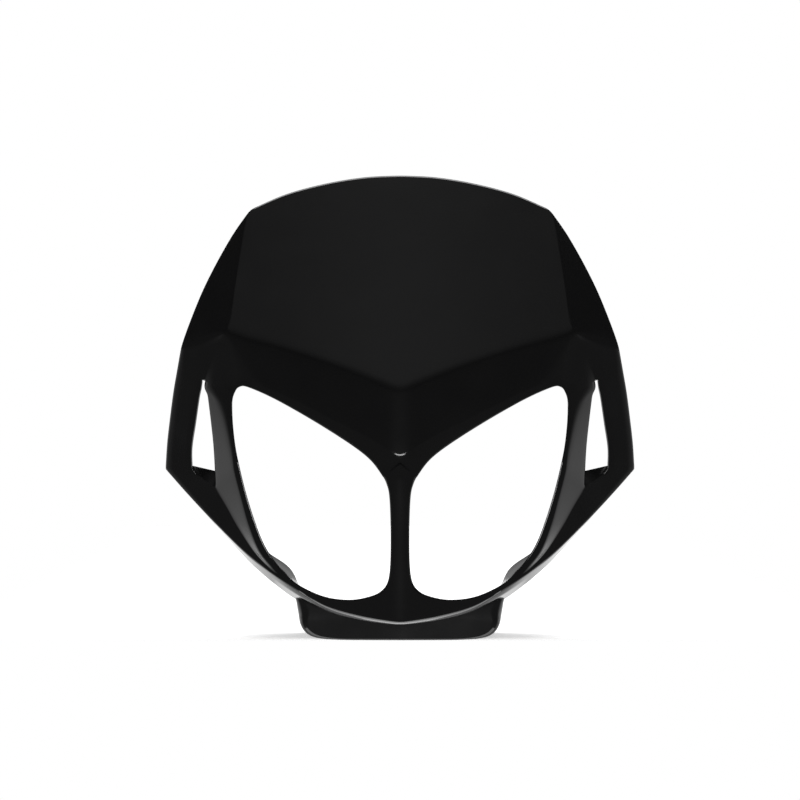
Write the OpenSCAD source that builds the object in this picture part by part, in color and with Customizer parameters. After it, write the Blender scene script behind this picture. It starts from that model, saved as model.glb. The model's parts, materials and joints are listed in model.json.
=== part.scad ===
// Headlight cowl for a motorcycle: one moulded shell with two lamp openings,
// two side vents and a skirt below the chin. Millimetres.
// Front faces -Y, up is +Z, the part is symmetric about X = 0.

/* [Shell] */
// Width across the ears
body_w = 296; // [280:1:312]
// Height from the bottom of the skirt to the top edge
body_h = 292; // [277:1:307]
// Thickness of the skin, front to back
skin = 3.2; // [2.6:0.1:4]
// Thickness of the turned-in walls round the edges
lip_wall = 2.4; // [1.8:0.1:3]
// How far the outer edge turns back
edge_depth = 14; // [10:0.5:18]
// How far the walls of the lamp openings go back
eye_depth = 9; // [6:0.5:12]
// How far the walls of the lamp openings lean outward over that depth
eye_draft = 1; // [0.6:0.1:1.6]
// How far the walls of the vents go back
vent_depth = 7; // [5:0.5:9]
// Softening of the outer edge
edge_round = 2.2; // [1:0.1:3]
// Softening of the rims of the lamp openings
rim_round = 0.9; // [0.4:0.1:1.4]

/* [Front planes] */
// Lean of the brow panel, from upright
brow_lean = 33; // [28:1:38]
// Lean of the band below the brow panel, from upright
band_lean = 10; // [6:1:14]
// Setback of the brow corner behind the beak line, per millimetre across
side_run = 0.9; // [0.7:0.05:1.1]
// Setback of the ears, per millimetre across
ear_run = 0.742; // [0.65:0.01:0.85]
// Setback of the face between the lamps, per millimetre across
face_run = 0.288; // [0.24:0.01:0.34]
// How far the middle bar sits behind the beak
bar_set = 5; // [3:0.5:7]
// How far the top edge is kicked upright
top_kick = 2.2; // [0:0.2:4]

/* [Skirt] */
// How far the front of the skirt sits behind the beak
skirt_y = 47; // [44:0.5:50]
// How far the skirt goes back from its front
skirt_run = 55; // [40:1:65]
// Thickness of the skirt's walls
skirt_wall = 3; // [2.4:0.1:4]
// Softening between the skirt's front and sides
skirt_round = 9; // [6:0.5:11]

/* [Bosses] */
// Distance of the bosses in from the tips of the ears
boss_in = 36; // [34:1:40]
// Distance of the upper bosses below the top edge
boss_drop = 88; // [86:1:92]
// Height of the lower bosses
boss_z = 84; // [80:1:86]
// Outer diameter of a boss
boss_d = 12; // [10:0.5:14]
// Diameter of the screw hole in a boss
bore_d = 4.2; // [3.4:0.1:5.2]
// Depth of the screw hole
bore_run = 18; // [12:1:22]
// Where the back faces of the bosses lie, behind the beak
boss_back = 84; // [80:1:92]
// Thickness of a boss's rib
rib_wall = 2.2; // [1.6:0.1:3]
// How far a rib reaches to each side of its boss
rib_reach = 10; // [8:0.5:11]

/* [Hidden] */
cowl_colour = [0.07, 0.07, 0.07];
$fn = 48;

// Stations round one lamp opening, each with five points [across, up]:
// rim of the opening, crease round it, second crease, third crease, outer edge.
brow = [
  [[10.4, 102.5], [0, 115.3], [0, 154.7], [0, 222], [0, 292.2]],
  [[20.5, 114.9], [15, 122.3], [25, 165.2], [24, 221.5], [23, 290.9]],
  [[44.9, 131.3], [41, 135.6], [52, 175.1], [50, 222], [47, 286.8]],
  [[74.3, 148.2], [72.5, 151.8], [80, 183.9], [77, 223.5], [72, 279.8]],
  [[94.2, 157.3], [94.5, 161.5], [105.6, 190.4], [101, 222], [94.6, 269.6]]];
side = [
  brow[4],
  [[96.6, 157.2], [97.2, 162.2], [105.9, 190.3], [107.6, 211], [108, 249.8]],
  [[98.8, 156.5], [100.0, 162.4], [106.4, 190.2], [115.2, 199.5], [123.4, 219.1]],
  [[100.4, 155.4], [103.0, 161.6], [107.2, 190.1], [121.5, 187.5], [135.9, 184.9]]];
ear = [
  side[3],
  [[102.6, 150.0], [113.8, 154.4], [121.0, 161.2], [122.4, 161.0], [139.6, 166.5]],
  [[102.9, 143.5], [110.6, 144.5], [119.2, 150.5], [125.0, 150.0], [142.1, 153.7]],
  [[102.4, 133.0], [107.6, 131.5], [117.2, 133.8], [127.7, 133.7], [144.5, 138.0]],
  [[100.7, 119.3], [104.3, 116.5], [115.7, 118.0], [130.2, 118.5], [146.7, 121.5]],
  [[97.6, 104.5], [100.8, 102.0], [114.7, 95.3], [130.2, 105.3], [148.0, 105.2]]];
jaw = [
  ear[5],
  [[93.8, 89.8], [97.4, 88.5], [107.2, 83.5], [114.0, 84.5], [133.5, 90.0]],
  [[88.0, 71.8], [92.7, 71.4], [99.3, 69.8], [104.0, 69.2], [116.0, 72.7]],
  [[81.5, 57.0], [85.9, 54.9], [88.9, 54.6], [91.2, 54.0], [95.0, 53.6]],
  [[71.5, 43.6], [75.6, 43.4], [77.3, 43.1], [78.4, 42.9], [79.8, 42.8]]];
chin = [
  jaw[4],
  [[60.8, 35.2], [62.0, 34.5], [62.8, 34.0], [63.4, 33.6], [64.0, 33.2]],
  [[45.1, 28.6], [45.4, 26.8], [45.6, 25.5], [45.8, 24.2], [46.0, 22.9]],
  [[28.0, 27.4], [27.0, 24.4], [26.4, 22.0], [25.7, 19.6], [25.0, 17.3]],
  [[13.6, 31.0], [0, 24], [0, 20.5], [0, 17], [0, 13.6]]];
bar = [
  [chin[4][0], chin[4][1]],
  [[7.0, 40.0], [0, 36]],
  [[5.9, 66.0], [0, 64]],
  [[6.6, 90.0], [0, 90]],
  [[8.4, 98.0], [0, 106]],
  [brow[0][0], brow[0][1]]];

// The tables are drawn at this size, then stretched to the sizes above.
drawn_w = 2 * ear[5][4][0];
drawn_h = brow[0][4][1];
sx = body_w / drawn_w;
sz = body_h / drawn_h;
v_tip = brow[0][2];
v_end = brow[4][2];
beak = brow[0][1];
vent_top = ear[1][2][1];

// Depths of the front planes, y behind the beak, at a point of the tables.
beak_soft = 6;
bar_soft = 4;
crown = 0.00035;
tip_y = 7;
brow_run = tan(brow_lean);
band_run = tan(band_lean);
function ridge(x, r) = sqrt(x * x + r * r) - r;
function brow_y(x, z) = tip_y + brow_run * (z - v_tip[1]) + crown * x * x;
corner_y = brow_y(v_end[0], v_end[1]);
band_side = (corner_y - tip_y - band_run * (v_end[1] - v_tip[1])) / ridge(v_end[0], beak_soft);
side_rise = 0.742;
ear_fall = 0.1318;
cheek_lift = 0.157;
bar_fall = 0.08;
function band_y(x, z) = tip_y + band_run * (z - v_tip[1]) + band_side * ridge(x, beak_soft);
function side_y(x, z) = corner_y + side_run * (x - v_end[0]) + side_rise * (z - v_end[1]);
function ear_y(x, z) = corner_y + ear_run * (x - v_end[0]) - ear_fall * (z - v_end[1]);
function face_y(x, z) = bar_set + bar_fall * (beak[1] - z) + face_run * ridge(x, bar_soft);
function cheek_y(x, z) = ear_y(x, z) - cheek_lift * (vent_top - z);
function upper_y(p) = max(brow_y(p[0], p[1]), band_y(p[0], p[1]), side_y(p[0], p[1]), ear_y(p[0], p[1]));
function lower_y(p) = max(face_y(p[0], p[1]), cheek_y(p[0], p[1]));
function outer_y(p) = ear_y(p[0], p[1]);

// Smooth curve through a list of points, at t from 0 to the last index.
function curve(list, t) =
  let (n = len(list) - 1, i = min(floor(t), n - 1), f = t - i,
       p1 = list[i], p2 = list[i + 1],
       m1 = i > 0 ? (p2 - list[i - 1]) / 2 : p2 - p1,
       m2 = i < n - 1 ? (list[i + 2] - p1) / 2 : p2 - p1,
       f2 = f * f, f3 = f2 * f)
  (2 * f3 - 3 * f2 + 1) * p1 + (f3 - 2 * f2 + f) * m1 + (3 * f2 - 2 * f3) * p2 + (f3 - f2) * m2;
function line_of(table, i) = [for (s = table) s[i]];

// A point a given distance from a towards b, never past a share of the way.
crease_share = 0.42;
bar_share = 0.45;
foot_share = 0.05;
function inset(a, b, d, share) =
  let (gap = norm(b - a)) a + (b - a) * (gap > 0 ? min(d / gap, share) : 0);

// One column: five points of the tables with their depths become the rails
// [front point, back point] from the rim of the opening to the outer edge.
function deep(p, y) = [p[0] * sx, y, p[1] * sz];
function back(p, d) = [p[0], p[1] + d, p[2]];
foot = 0.5;
ledge_foot = 0.6;
ledge_near = 0.8;
ledge_far = 0.25;
function rail_set(k, vent, turn, kick, ledge) =
  let (full = len(k) > 2, share = full ? crease_share : bar_share, wide = share + foot_share,
       away = [k[1][0] - k[0][0], 0, k[1][2] - k[0][2]], lean = away * eye_draft / norm(away),
       a0 = k[0], a1 = inset(k[0], k[1], rim_round, share / 3), a2 = inset(k[0], k[1], lip_wall, share),
       a3 = inset(k[0], k[1], lip_wall + foot, wide),
       eye = [[back(a0, rim_round), back(a0, eye_depth) + lean], [a1, back(a1, eye_depth) + lean],
              [a2, back(a2, eye_depth) + lean], [a3, back(a3, skin)], [k[1], back(k[1], skin)]])
  !full ? eye :
  let (vd = vent ? vent_depth : skin, rise = [0, 0, ledge],
       b1 = inset(k[2], k[1], lip_wall + foot, wide), b2 = inset(k[2], k[1], lip_wall, share),
       c1 = inset(k[3], k[4], lip_wall, share), c2 = inset(k[3], k[4], lip_wall + foot, wide),
       d1 = inset(k[4], k[3], lip_wall + foot, wide), d2 = inset(k[4], k[3], lip_wall, share),
       d3 = inset(k[4], k[3], edge_round / 3, share / 2), d4 = k[4], up = [0, -kick, 0])
  concat(eye, [[b1, back(b1, skin) + rise * ledge_foot], [b2, back(b2, vd) + rise * ledge_near],
    [k[2], back(k[2], vd) + rise], [k[3], back(k[3], vd) + rise * ledge_far],
    [c1, back(c1, vd)], [c2, back(c2, skin)],
    [d1, back(d1, skin)], [d2 + up / 2, d2 + turn], [d3 + up + [0, edge_round / 4, 0], d3 + turn],
    [d4 + up + [0, edge_round, 0], d4 + turn]]);

// Columns of each stretch, with the depth of every point.
steps = 3;
fine = 2;
ledge_rise = 9;
edge_turn = [0, edge_depth, 0];
// Under the jaw and the chin the turned edge also drops: by how much at each
// station, and how far past the middle of the skirt's front wall it reaches.
jaw_drop = [0, 0.8, 2.4, 4.6, 6.4];
chin_drop = [6.4, 8.6, 4.6, 3, 3];
chin_reach = [0, 5.5, 0, 0, 0];
ramp = 3;
function column(table, n, k) = [for (i = [0 : len(table[0]) - 1]) curve(line_of(table, i), k / n)];
function count(table, n) = (len(table) - 1) * n;
brow_cols = [for (k = [0 : count(brow, steps) - 1]) let (c = column(brow, steps, k))
  rail_set([deep(c[0], lower_y(c[0])), for (i = [1 : 4]) deep(c[i], upper_y(c[i]))], false, edge_turn,
    top_kick, 0)];
side_cols = [for (k = [0 : count(side, steps) - 1]) let (c = column(side, steps, k))
  rail_set([deep(c[0], lower_y(c[0])), for (i = [1 : 4]) deep(c[i], upper_y(c[i]))], false, edge_turn,
    top_kick * max(0, 1 - k / steps), 0)];
ear_cols = [for (k = [0 : count(ear, fine) - 1]) let (c = column(ear, fine, k), in_vent = k >= fine)
  rail_set([deep(c[0], lower_y(c[0])), deep(c[1], k == 0 ? upper_y(c[1]) : lower_y(c[1])),
    for (i = [2 : 4]) deep(c[i], outer_y(c[i]))], in_vent, edge_turn, 0, 0)];
jaw_cols = [for (k = [0 : count(jaw, fine) - 1]) let (c = column(jaw, fine, k))
  rail_set([for (i = [0, 1]) deep(c[i], lower_y(c[i])), for (i = [2 : 4]) deep(c[i], outer_y(c[i]))],
    k == 0, edge_turn - [0, 0, curve(jaw_drop, k / fine)], 0, k == 0 ? ledge_rise : 0)];
chin_cols = [for (k = [0 : count(chin, steps)])
  let (c = column(chin, steps, k), f = min(1, ramp * k / count(chin, steps)),
       y = [for (p = c) lower_y(p) * f + outer_y(p) * (1 - f)],
       end_y = skirt_y + skirt_wall / 2 + curve(chin_reach, k / steps))
  rail_set([for (i = [0 : 4]) deep(c[i], y[i])], false,
    [0, end_y - y[4], -curve(chin_drop, k / steps)], 0, 0)];
bar_cols = [for (k = [1 : count(bar, fine) - 1]) let (c = column(bar, fine, k))
  rail_set([for (i = [0, 1]) deep(c[i], lower_y(c[i]))], false, edge_turn, 0, 0)];
cols = concat(brow_cols, side_cols, ear_cols, jaw_cols, chin_cols, bar_cols);
n_cols = len(cols);
n_outer = n_cols - len(bar_cols);
rails = len(cols[0]);
bar_rails = len(bar_cols[0]);
vent_from = len(brow_cols) + len(side_cols) + fine;
vent_to = len(brow_cols) + len(side_cols) + len(ear_cols);
vent_rail = 7;

// Points run column by column, front then back, then the same mirrored.
half_points = n_cols * rails * 2;
function col_points(c, m) = [for (i = [0 : rails - 1], s = [0, 1])
  let (p = c[min(i, len(c) - 1)][s]) [m * p[0] + 0, p[1], p[2]]];
shell_points = [for (m = [1, -1], c = cols) each col_points(c, m)];
function at(h, j, i, s) = h * half_points + ((j % n_cols) * rails + i) * 2 + s;
function quad(a, b, c, d, flip) = flip ? [[a, b, c], [a, c, d]] : [[a, d, c], [a, c, b]];
function filled(j, i) = (j < n_outer - 1 || i < bar_rails - 1)
  && !(i == vent_rail && j >= vent_from && j < vent_to);
skin_faces = [for (h = [0, 1], j = [0 : n_cols - 1], i = [0 : rails - 2], s = [0, 1]) if (filled(j, i))
  each quad(at(h, j, i, s), at(h, j, i + 1, s), at(h, j + 1, i + 1, s), at(h, j + 1, i, s),
    (h == 0) != (s == 1))];
eye_faces = [for (h = [0, 1], j = [0 : n_cols - 1])
  each quad(at(h, j, 0, 0), at(h, j + 1, 0, 0), at(h, j + 1, 0, 1), at(h, j, 0, 1), h == 0)];
edge_faces = [for (h = [0, 1], j = [0 : n_outer - 2])
  each quad(at(h, j, rails - 1, 0), at(h, j + 1, rails - 1, 0), at(h, j + 1, rails - 1, 1),
    at(h, j, rails - 1, 1), h == 1)];
vent_faces = [for (h = [0, 1], j = [vent_from : vent_to - 1], i = [0, 1])
  each quad(at(h, j, vent_rail + i, 0), at(h, j + 1, vent_rail + i, 0), at(h, j + 1, vent_rail + i, 1),
    at(h, j, vent_rail + i, 1), (h == 0) != (i == 0))];
vent_ends = [for (h = [0, 1], e = [0, 1]) let (j = e == 0 ? vent_from : vent_to)
  each quad(at(h, j, vent_rail, 0), at(h, j, vent_rail + 1, 0), at(h, j, vent_rail + 1, 1),
    at(h, j, vent_rail, 1), (h == 0) == (e == 0))];
shell_faces = concat(skin_faces, eye_faces, edge_faces, vent_faces, vent_ends);

module shell() {
  polyhedron(points = shell_points, faces = shell_faces, convexity = 12);
}

// Skirt: a tray standing behind the chin. Its section seen from the front is
// a U with wide shoulders; the front edge is rounded over to a plate.
// Half of the U, from the middle of the bottom up to the end of the shoulder,
// at the front of the tray and at its back.
tray_front = [[0, 0], [22, 0.06], [38, 0.3], [50, 1.1], [57.5, 3.6], [61.8, 9.5], [63.6, 18], [65.8, 28],
  [74.5, 40.6], [86, 48.4], [97, 57.4]];
tray_back = [[0, 0.6], [22, 0.6], [37, 0.6], [49, 1.4], [56.5, 4.2], [60.8, 10], [63, 19], [67.6, 29.3],
  [73, 39.3], [85, 47.8], [95.4, 55.4]];
// Softening of the front edge at each of those points, as a share of skirt_round.
tray_soft = [0.18, 0.18, 0.18, 0.5, 1, 1, 1, 0.4, 0.1, 0.1, 0.1];
tray_fine = 2;
tray_n = (len(tray_front) - 1) * tray_fine;
plate_n = 13;
plate_mid = 21;
arc_steps = 4;
least_round = 0.2;
function inward(c, i) = let (u = c[max(0, i - 1)], v = c[min(len(c) - 1, i + 1)], d = v - u)
  i == 0 ? [0, 1] : [-d[1], d[0]] / norm(d);
function tray_line(keys) = [for (k = [0 : tray_n]) curve(keys, k / tray_fine)];
front_line = tray_line(tray_front);
back_line = tray_line(tray_back);
function tray_point(line, i, d, y) = let (p = line[i] + d * inward(line, i)) [p[0] * sx, y, p[1] * sz];
function tray_ring(k, s) = [for (i = [0 : tray_n])
  k > arc_steps ? tray_point(back_line, i, s * skirt_wall, skirt_y + skirt_run) :
  let (soft = skirt_round * curve(tray_soft, i / tray_fine),
       r = s == 0 ? soft : max(least_round, soft - skirt_wall),
       a = 90 * k / arc_steps)
  tray_point(front_line, i, s * skirt_wall + r * (1 - sin(a)), skirt_y + s * skirt_wall + r * (1 - cos(a)))];
tray_rings = [for (s = [0, 1]) [for (k = [0 : arc_steps + 1]) tray_ring(k, s)]];
ring_len = tray_n + 1;
ring_n = arc_steps + 2;
tray_mid = [for (s = [0, 1], i = [1 : plate_n])
  let (z0 = tray_rings[s][0][0][2]) [0, tray_rings[s][0][0][1], z0 + (plate_mid * sz - z0) * i / plate_n]];
tray_points = concat(
  [for (m = [1, -1], s = [0, 1], k = [0 : ring_n - 1], i = [0 : tray_n])
    let (p = tray_rings[s][k][i]) [m * p[0] + 0, p[1], p[2]]], tray_mid);
function tp(h, s, k, i) = ((h * 2 + s) * ring_n + k) * ring_len + i;
function tm(s, i) = i == 0 ? tp(0, s, 0, 0) : 4 * ring_n * ring_len + s * plate_n + i - 1;
function strip_face(a, b, c, d, flip) = [for (f = quad(a, b, c, d, flip))
  if (tray_points[f[0]] != tray_points[f[1]] && tray_points[f[1]] != tray_points[f[2]]
    && tray_points[f[2]] != tray_points[f[0]]) f];
tray_wall = [for (h = [0, 1], s = [0, 1], k = [0 : ring_n - 2], i = [0 : tray_n - 1])
  each strip_face(tp(h, s, k, i), tp(h, s, k, i + 1), tp(h, s, k + 1, i + 1), tp(h, s, k + 1, i),
    (h == 0) != (s == 1))];
tray_plate = [for (h = [0, 1], s = [0, 1], i = [0 : plate_n - 1])
  each strip_face(tm(s, i), tm(s, i + 1), tp(h, s, 0, i + 1), tp(h, s, 0, i), (h == 0) != (s == 1))];
tray_top = [for (h = [0, 1]) each strip_face(tm(0, plate_n), tm(1, plate_n), tp(h, 1, 0, plate_n),
  tp(h, 0, 0, plate_n), h == 0)];
tray_lead = [for (h = [0, 1], i = [plate_n : tray_n - 1])
  each strip_face(tp(h, 0, 0, i), tp(h, 1, 0, i), tp(h, 1, 0, i + 1), tp(h, 0, 0, i + 1), h == 0)];
tray_rear = [for (h = [0, 1], i = [0 : tray_n - 1])
  each strip_face(tp(h, 0, ring_n - 1, i), tp(h, 0, ring_n - 1, i + 1), tp(h, 1, ring_n - 1, i + 1),
    tp(h, 1, ring_n - 1, i), h == 0)];
tray_end = [for (h = [0, 1], k = [0 : ring_n - 2])
  each strip_face(tp(h, 0, k, tray_n), tp(h, 1, k, tray_n), tp(h, 1, k + 1, tray_n), tp(h, 0, k + 1, tray_n),
    h == 0)];

module skirt() {
  polyhedron(points = tray_points, convexity = 12,
    faces = concat(tray_wall, tray_plate, tray_top, tray_lead, tray_rear, tray_end));
}

// Depth of the shell's front at a point [x, z]: the height there of the one
// triangle of the front that lies over it. Outside the shell, the ear's plane.
function flat(p) = [p[0], p[2]];
function turn_of(a, b) = a[0] * b[1] - a[1] * b[0];
function over(q, a, b, c) =
  let (u = flat(b) - flat(a), v = flat(c) - flat(a), w = q - flat(a), d = turn_of(u, v),
       m = d == 0 ? -1 : turn_of(w, v) / d, n = d == 0 ? -1 : turn_of(u, w) / d)
  m >= 0 && n >= 0 && m + n <= 1 ? [a[1] + m * (b[1] - a[1]) + n * (c[1] - a[1])] : [];
function front_at(q) = [for (j = [0 : n_cols - 1], i = [0 : rails - 2]) if (filled(j, i))
  let (a = shell_points[at(0, j, i, 0)], b = shell_points[at(0, j, i + 1, 0)],
       c = shell_points[at(0, j + 1, i + 1, 0)], d = shell_points[at(0, j + 1, i, 0)])
  each concat(over(q, a, d, c), over(q, a, c, b))];
function front_y(x, z) = let (y = front_at([x, z])) len(y) > 0 ? y[0] : outer_y([x / sx, z / sz]);

// Bosses behind the side facets and the cheeks, with a rib to each side.
boss_x = body_w / 2 - boss_in;
boss_zs = [boss_z, body_h - boss_drop];
boss_lead = 12;
rib_step = 6;
rib_lift = 0.8;
rib_cuts = 3;
tip_chamfer = 1;

// All that lies ahead of the middle of the skin round a boss.
module ahead(z) {
  r = boss_d / 2;
  mid = front_y(boss_x, z) + skin / 2;
  lean_x = (front_y(boss_x + r, z) - front_y(boss_x - r, z)) / boss_d;
  lean_z = (front_y(boss_x, z + r) - front_y(boss_x, z - r)) / boss_d;
  corners = [[-boss_d, -boss_d], [boss_d, -boss_d], [boss_d, boss_d], [-boss_d, boss_d]];
  polyhedron(points = [for (y = [-2 * boss_lead, 0], c = corners)
      [boss_x + c[0], mid + y + lean_x * c[0] + lean_z * c[1], z + c[1]]],
    faces = [[3, 2, 1, 0], [4, 5, 6, 7], [0, 1, 5, 4], [1, 2, 6, 5], [2, 3, 7, 6], [3, 0, 4, 7]]);
}

module boss(z) {
  start = front_y(boss_x, z) - boss_lead;
  difference() {
    translate([boss_x, start, z]) rotate([-90, 0, 0]) {
      cylinder(d = boss_d, h = boss_back - start - tip_chamfer);
      translate([0, 0, boss_back - start - tip_chamfer])
        cylinder(d1 = boss_d, d2 = boss_d - 2 * tip_chamfer, h = tip_chamfer);
    }
    ahead(z);
  }
  rib_xs = [for (i = [-rib_cuts : rib_cuts]) boss_x + rib_reach * i / rib_cuts];
  ends = [for (m = [1, -1]) [boss_x + m * rib_reach, front_y(boss_x + m * rib_reach, z) + skin + rib_lift]];
  translate([0, 0, z - rib_wall / 2]) linear_extrude(height = rib_wall)
    polygon(concat([for (x = rib_xs) [x, front_y(x, z) + skin / 2]],
      [ends[0]], [for (m = [1, -1]) [boss_x + m * rib_step / 2, boss_back - rib_step]], [ends[1]]));
}

module bore(z) {
  translate([boss_x, boss_back - bore_run, z]) rotate([-90, 0, 0])
    cylinder(d = bore_d, h = bore_run + skin);
}

// The middle of the part, front to back, is brought to Y = 0.
all_y = [for (p = shell_points) p[1]];
mid_y = (min(all_y) + max(all_y)) / 2;

module cowl() {
  color(cowl_colour) translate([0, -mid_y, 0]) difference() {
    union() {
      shell();
      skirt();
      for (m = [0, 1], z = boss_zs) mirror([m, 0, 0]) boss(z);
    }
    for (m = [0, 1], z = boss_zs) mirror([m, 0, 0]) bore(z);
  }
}

cowl();
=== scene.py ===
"""Headlight cowl: one moulded shell in gloss black plastic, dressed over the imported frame."""
import json
import math

import bmesh
import bpy
import numpy as np
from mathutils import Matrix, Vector

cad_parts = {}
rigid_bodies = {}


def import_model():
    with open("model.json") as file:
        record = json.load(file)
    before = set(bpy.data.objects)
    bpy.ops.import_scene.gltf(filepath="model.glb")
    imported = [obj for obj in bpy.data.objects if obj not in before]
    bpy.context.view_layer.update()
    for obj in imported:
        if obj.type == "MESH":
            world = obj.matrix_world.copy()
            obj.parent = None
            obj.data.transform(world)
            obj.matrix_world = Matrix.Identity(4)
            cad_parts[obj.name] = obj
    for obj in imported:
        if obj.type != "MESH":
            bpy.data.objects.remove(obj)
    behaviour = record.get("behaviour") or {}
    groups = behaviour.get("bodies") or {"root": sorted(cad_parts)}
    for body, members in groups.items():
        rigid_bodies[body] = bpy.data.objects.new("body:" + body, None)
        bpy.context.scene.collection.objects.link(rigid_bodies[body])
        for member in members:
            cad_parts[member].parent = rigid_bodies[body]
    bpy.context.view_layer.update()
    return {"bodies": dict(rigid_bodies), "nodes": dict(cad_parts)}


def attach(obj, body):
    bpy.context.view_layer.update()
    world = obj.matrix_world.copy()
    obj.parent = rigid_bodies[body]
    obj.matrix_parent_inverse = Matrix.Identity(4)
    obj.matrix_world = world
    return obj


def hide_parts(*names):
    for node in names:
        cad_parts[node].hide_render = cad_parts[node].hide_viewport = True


bl_info = {
    "name": "Headlight cowl",
    "version": (1, 0, 0),
    "blender": (4, 5, 0),
    "location": "3D View > Sidebar > Cowl",
    "description": "Builds a motorcycle headlight cowl, its skirt, its bosses and a plain studio",
    "category": "Object",
}

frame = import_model()
BODY = next(iter(frame["bodies"]))
NODE = next(iter(frame["nodes"]))
MM = 0.001
PER_M = 1 / MM

# Stations round one lamp opening, in millimetres, five points [across, up] each:
# rim of the opening, crease round it, second crease, third crease, outer edge.
BROW = [
    [[10.4, 102.5], [0, 112.2], [0, 154.7], [0, 222], [0, 292.2]],
    [[20.5, 114.9], [15, 122.3], [25, 165.2], [24, 221.5], [23, 290.9]],
    [[44.9, 131.3], [41, 135.6], [52, 175.1], [50, 222], [47, 286.8]],
    [[74.3, 148.2], [72.5, 151.8], [80, 183.9], [77, 223.5], [72, 279.8]],
    [[94.2, 157.3], [94.5, 161.5], [105.6, 190.4], [101, 222], [94.6, 269.6]],
]
SIDE = [
    BROW[4],
    [[96.6, 157.2], [97.2, 162.2], [105.9, 190.3], [107.6, 211], [108, 249.8]],
    [[98.8, 156.5], [100.0, 162.4], [106.4, 190.2], [115.2, 199.5], [123.4, 219.1]],
    [[100.4, 155.4], [103.0, 161.6], [107.2, 190.1], [121.5, 187.5], [135.9, 184.9]],
]
EAR = [
    SIDE[3],
    [[102.6, 150.0], [113.8, 154.4], [120.8, 161.3], [122.9, 161.3], [139.6, 166.5]],
    [[102.9, 143.5], [110.6, 144.5], [119.2, 150.5], [125.0, 150.0], [142.1, 153.7]],
    [[102.4, 133.0], [107.6, 131.5], [117.2, 133.8], [127.7, 133.7], [144.5, 138.0]],
    [[100.7, 119.3], [104.3, 116.5], [115.7, 118.0], [130.2, 118.5], [146.7, 121.5]],
    [[97.6, 104.5], [100.8, 102.0], [114.7, 95.3], [130.2, 105.3], [148.0, 105.2]],
]
JAW = [
    EAR[5],
    [[93.8, 89.8], [97.4, 88.5], [107.2, 83.5], [114.0, 84.5], [133.5, 90.0]],
    [[88.0, 71.8], [92.7, 71.4], [99.3, 69.8], [104.0, 69.2], [116.0, 72.7]],
    [[81.5, 57.0], [85.9, 54.9], [88.9, 54.6], [91.2, 54.0], [95.0, 53.6]],
    [[71.5, 43.6], [75.6, 43.4], [77.3, 43.1], [78.4, 42.9], [79.8, 42.8]],
]
CHIN = [
    JAW[4],
    [[60.8, 35.2], [62.0, 34.5], [62.8, 34.0], [63.4, 33.6], [64.0, 33.2]],
    [[45.1, 28.6], [45.4, 26.8], [45.6, 25.5], [45.8, 24.2], [46.0, 22.9]],
    [[28.0, 27.4], [27.0, 24.4], [26.4, 22.0], [25.7, 19.6], [25.0, 17.3]],
    [[13.6, 31.0], [0, 24], [0, 20.5], [0, 17], [0, 13.6]],
]
BAR = [
    CHIN[4][:2],
    [[7.0, 40.0], [0, 36]],
    [[5.9, 66.0], [0, 64]],
    [[6.6, 90.0], [0, 90]],
    [[8.4, 98.0], [0, 106]],
    BROW[0][:2],
]
TABLE_TOP, PART_TOP = 292.2, 292.0
UP_SCALE = PART_TOP / TABLE_TOP

# Front planes of the shell: depth behind the beak, in millimetres. UP, OUT and DOWN are the
# depth gained per millimetre that way, and ROUND is the rounding of a plane's middle crease.
BROW_UP = math.tan(math.radians(33))
BROW_CROWN = 0.00035
BAND_UP, BAND_ROUND = math.tan(math.radians(10)), 6
SIDE_OUT, SIDE_UP = 0.9, 0.742
EAR_OUT, EAR_UP = 0.742, -0.1318
CHEEK_DOWN = 0.157
FACE_Y, FACE_Z, FACE_DOWN = 5, 115.3, 0.08
FACE_OUT, FACE_ROUND = 0.288, 4
TIP_Y, TIP_Z = 7.0, BROW[0][2][1]
END_X, END_Z = BROW[4][2]
VENT_TOP = EAR[1][2][1]
# Depth of the frame's origin behind the beak
MID_Y = 55.1731


def ridge(x, r):
    """A V rounded off over r, zero at its tip."""
    return math.sqrt(x * x + r * r) - r


def brow_y(x, z):
    """The brow above the band."""
    return TIP_Y + BROW_UP * (z - TIP_Z) + BROW_CROWN * x * x


CORNER_Y = brow_y(END_X, END_Z)
BAND_OUT = (CORNER_Y - TIP_Y - BAND_UP * (END_Z - TIP_Z)) / ridge(END_X, BAND_ROUND)


def band_y(x, z):
    """The band between the brow and the lamp openings, ending in the beak."""
    return TIP_Y + BAND_UP * (z - TIP_Z) + BAND_OUT * ridge(x, BAND_ROUND)


def side_y(x, z):
    """The facet beside the brow."""
    return CORNER_Y + SIDE_OUT * (x - END_X) + SIDE_UP * (z - END_Z)


def ear_y(x, z):
    """The facet outside the vent, and everything below it to the outer edge."""
    return CORNER_Y + EAR_OUT * (x - END_X) + EAR_UP * (z - END_Z)


def face_y(x, z):
    """The bar and the chin."""
    return FACE_Y + FACE_DOWN * (FACE_Z - z) + FACE_OUT * ridge(x, FACE_ROUND)


def cheek_y(x, z):
    """The narrow cheek between the vent and the lamp opening."""
    return ear_y(x, z) - CHEEK_DOWN * (VENT_TOP - z)


def upper_y(p):
    """Depth above the lamp openings."""
    return max(brow_y(*p), band_y(*p), side_y(*p), ear_y(*p))


def lower_y(p):
    """Depth beside and below the lamp openings."""
    return max(face_y(*p), cheek_y(*p))


def outer_y(p):
    """Depth along the outer edge of the sides and the jaw."""
    return ear_y(*p)


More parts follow.
